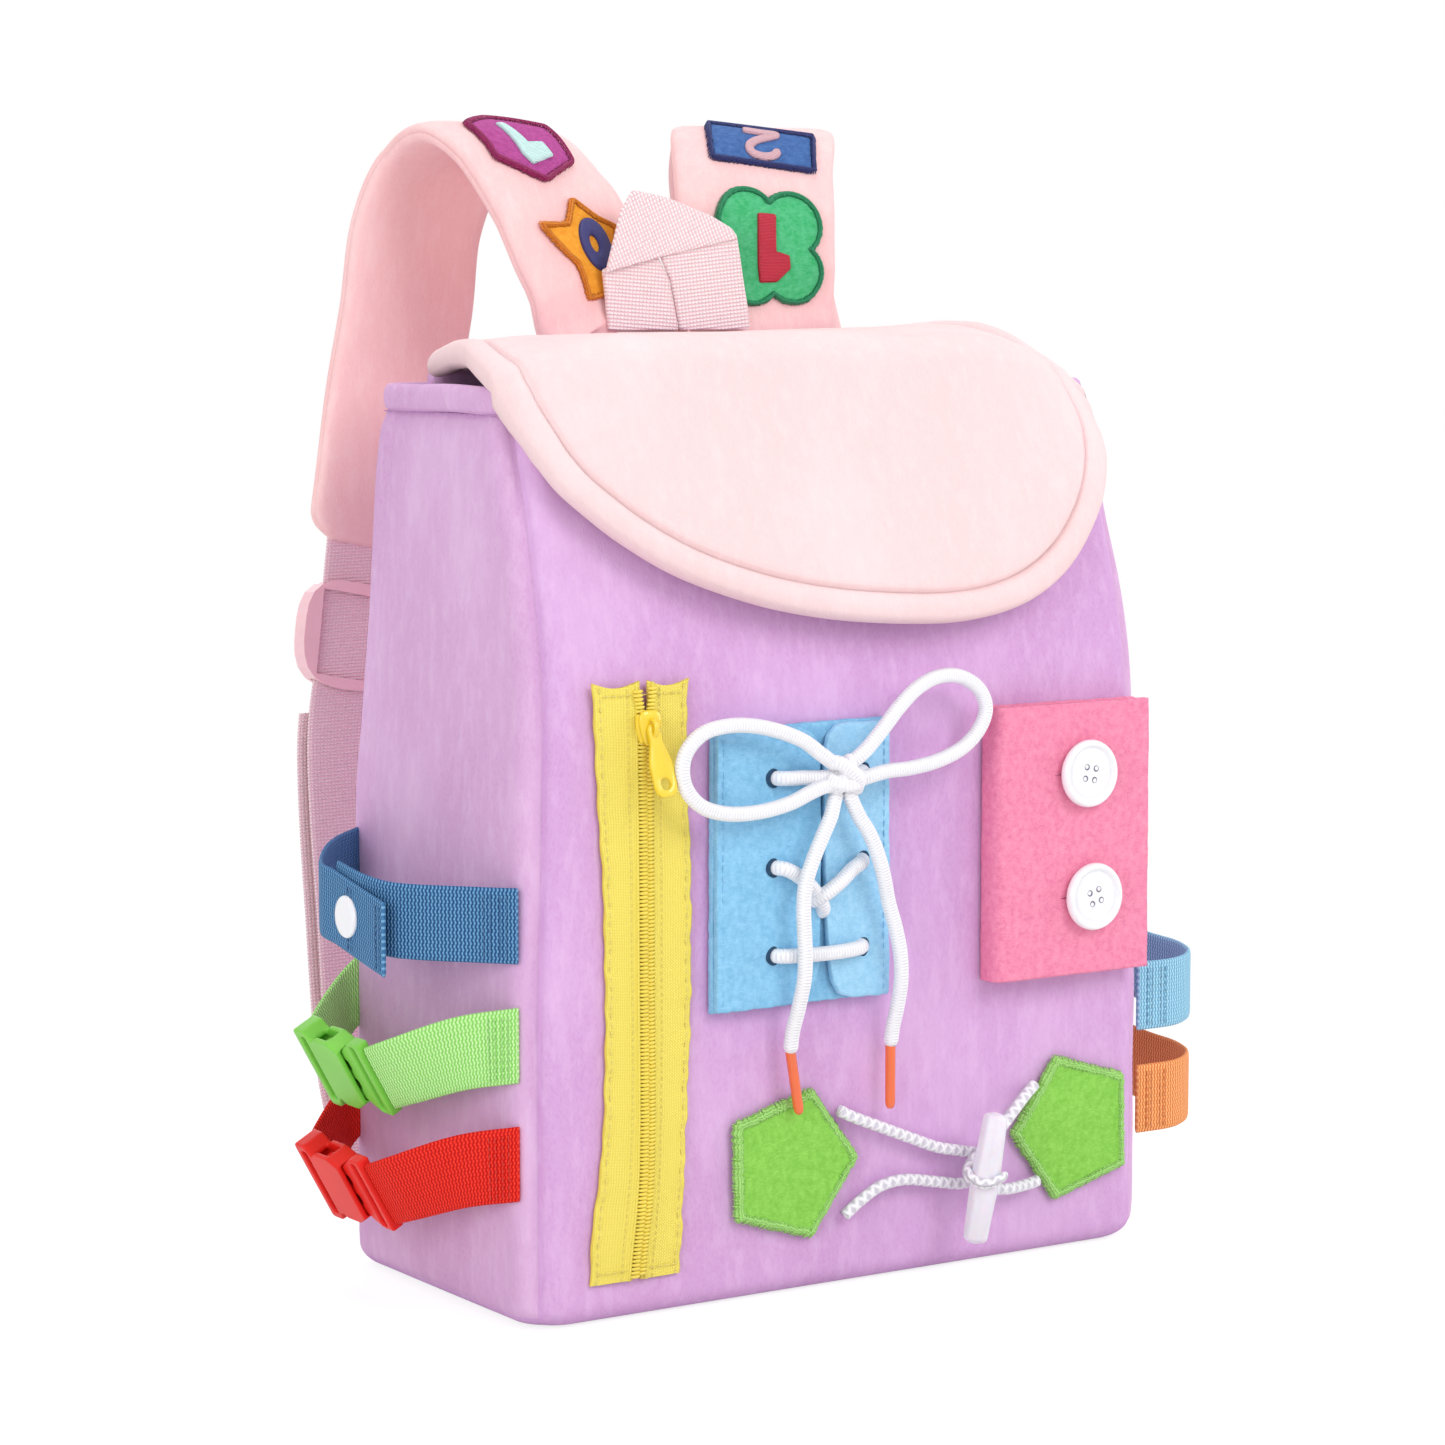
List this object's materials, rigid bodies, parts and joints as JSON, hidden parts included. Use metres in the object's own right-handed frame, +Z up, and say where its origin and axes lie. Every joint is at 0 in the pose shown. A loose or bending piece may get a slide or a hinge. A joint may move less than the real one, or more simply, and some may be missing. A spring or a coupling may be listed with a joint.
{
  "type": "busy board backpack",
  "caption": "Child's plush backpack with a flap, shoulder straps and practice fasteners: zip, lacing, buttons, toggle, snap, buckles and hook-and-loop straps",
  "frame": {"origin": "centre of the flat underside of the base panel", "axes": "+X to the right of someone facing the front, front towards -Y, +Z up"},
  "size_m": [0.3334, 0.2093, 0.3946],
  "materials": {
    "lilac_plush": "short lilac plush pile",
    "blush_plush": "short pale pink plush pile",
    "pad_plush": "short pink plush pile",
    "pink_webbing": "ribbed pink webbing",
    "pink_plastic": "smooth pink moulding",
    "lining_fleece": "grey-lilac fleece",
    "zip_yellow": "knitted tape with a coil",
    "zip_metal": "yellow enamel",
    "sky_felt": "felt",
    "rose_felt": "felt",
    "leaf_felt": "felt with a satin-stitched edge",
    "white_lace": "finely ribbed lace",
    "white_cord": "braided cord",
    "orange_tip": "glossy",
    "white_button": "glossy",
    "frosted_toggle": "frosted",
    "blue_webbing": "ribbed webbing",
    "green_webbing": "ribbed webbing",
    "green_plastic": "smooth",
    "red_webbing": "ribbed webbing",
    "red_plastic": "smooth",
    "sky_webbing": "ribbed webbing",
    "orange_webbing": "ribbed webbing",
    "magenta_patch": "satin-stitched patch",
    "orange_patch": "satin-stitched patch",
    "green_patch": "satin-stitched patch",
    "blue_patch": "satin-stitched patch"
  },
  "bodies": {
    "bag": {"front_panel": "lilac_plush", "left_gusset": "lilac_plush", "right_gusset": "lilac_plush", "back_panel": "lilac_plush", "base_panel": "lilac_plush", "mouth_hem": "lilac_plush", "lining": "lining_fleece", "back_yoke": "lilac_plush", "left_strap_pad": "pad_plush", "right_strap_pad": "pad_plush", "left_strap_webbing": "pink_webbing", "right_strap_webbing": "pink_webbing", "patch_seven": "magenta_patch", "patch_six": "orange_patch", "patch_two": "blue_patch", "patch_one": "green_patch", "zip_tape_left": "zip_yellow", "zip_tape_right": "zip_yellow", "lace_backing": "sky_felt", "lace_door_left": "sky_felt", "lace_door_right": "sky_felt", "lacing": "white_lace", "bow": "white_lace", "lace_tail_left": "white_lace", "lace_tail_right": "white_lace", "aglet_left": "orange_tip", "aglet_right": "orange_tip", "button_backing": "rose_felt", "button_door": "rose_felt", "pentagon_left": "leaf_felt", "pentagon_right": "leaf_felt", "toggle_cord_left": "white_cord", "toggle_cord_right": "white_cord", "blue_front_strap": "blue_webbing", "snap_stud": "white_button", "green_front_webbing": "green_webbing", "green_socket": "green_plastic", "green_rear_webbing": "green_webbing", "red_front_webbing": "red_webbing", "red_socket": "red_plastic", "red_rear_webbing": "red_webbing", "lightblue_front_strap": "sky_webbing", "orange_front_strap": "orange_webbing"},
    "flap_rear_half": {"flap_top": "blush_plush"},
    "flap_hanging_half": {"flap_front": "blush_plush", "flap_border": "blush_plush"},
    "handle": {"carry_handle": "pink_webbing"},
    "slider": {"zip_slider": "zip_metal"},
    "pull_tab": {"zip_pull_tab": "zip_metal"},
    "toggle": {"toggle": "frosted_toggle"},
    "upper_button": {"button_upper": "white_button"},
    "lower_button": {"button_lower": "white_button"},
    "green_plug": {"green_plug": "green_plastic"},
    "red_plug": {"red_plug": "red_plastic"},
    "blue_strap": {"blue_rear_strap": "blue_webbing", "snap_cap": "white_button"},
    "lightblue_strap": {"lightblue_rear_strap": "sky_webbing"},
    "orange_strap": {"orange_rear_strap": "orange_webbing"},
    "left_adjuster": {"left_adjuster": "pink_plastic"},
    "right_adjuster": {"right_adjuster": "pink_plastic"}
  },
  "joints": [
    {"name": "flap_hinge", "type": "hinge", "parent": "bag", "child": "flap_rear_half", "pos_m": [0.003, 0.0427, 0.318], "axis": [-1, 0, 0], "range_deg": [0, 90]},
    {"name": "flap_fold", "type": "hinge", "parent": "flap_rear_half", "child": "flap_hanging_half", "pos_m": [0.003, -0.03913, 0.31547], "axis": [-1, 0, 0], "range_deg": [0, 64]},
    {"name": "handle_tilt", "type": "hinge", "parent": "bag", "child": "handle", "pos_m": [0.003, 0.0494, 0.3199], "axis": [-1, 0, 0], "range_deg": [-75, 0]},
    {"name": "zip_slide", "type": "slide", "parent": "bag", "child": "slider", "axis": [0, 0, -1], "range_m": [0, 0.165]},
    {"name": "zip_pull", "type": "hinge", "parent": "slider", "child": "pull_tab", "pos_m": [-0.084, -0.0675, 0.1936], "axis": [-1, 0, 0], "range_deg": [-8, 115]},
    {"name": "toggle_turn", "type": "hinge", "parent": "bag", "child": "toggle", "pos_m": [0.0415, -0.0788, 0.0345], "axis": [0, -1, 0], "range_deg": [-75, 75]},
    {"name": "upper_button_turn", "type": "hinge", "parent": "bag", "child": "upper_button", "pos_m": [0.08896, -0.0712, 0.16875], "axis": [0, -1, 0], "range_deg": [-60, 60]},
    {"name": "lower_button_turn", "type": "hinge", "parent": "bag", "child": "lower_button", "pos_m": [0.0916, -0.0712, 0.12598], "axis": [0, -1, 0], "range_deg": [-60, 60]},
    {"name": "green_release", "type": "slide", "parent": "bag", "child": "green_plug", "axis": [0, -1, 0], "range_m": [0, 0.0195], "deforming": ["green_front_webbing"]},
    {"name": "red_release", "type": "slide", "parent": "bag", "child": "red_plug", "axis": [0, -1, 0], "range_m": [0, 0.0195], "deforming": ["red_front_webbing"]},
    {"name": "blue_strap_open", "type": "hinge", "parent": "bag", "child": "blue_strap", "pos_m": [-0.1275, 0.054, 0.132], "axis": [0, 0, -1], "range_deg": [0, 100]},
    {"name": "lightblue_strap_open", "type": "hinge", "parent": "bag", "child": "lightblue_strap", "pos_m": [0.1275, 0.054, 0.085], "axis": [0, 0, 1], "range_deg": [0, 100]},
    {"name": "orange_strap_open", "type": "hinge", "parent": "bag", "child": "orange_strap", "pos_m": [0.1275, 0.054, 0.048], "axis": [0, 0, 1], "range_deg": [0, 100]},
    {"name": "left_adjuster_slide", "type": "slide", "parent": "bag", "child": "left_adjuster", "axis": [-0.176, -0.1173, -0.9774], "range_m": [-0.01, 0.018]},
    {"name": "right_adjuster_slide", "type": "slide", "parent": "bag", "child": "right_adjuster", "axis": [0.176, -0.1173, -0.9774], "range_m": [-0.01, 0.018]}
  ],
  "couplings": [
    {"joint": "flap_fold", "follows": "flap_hinge", "ratio": 0.7}
  ]
}
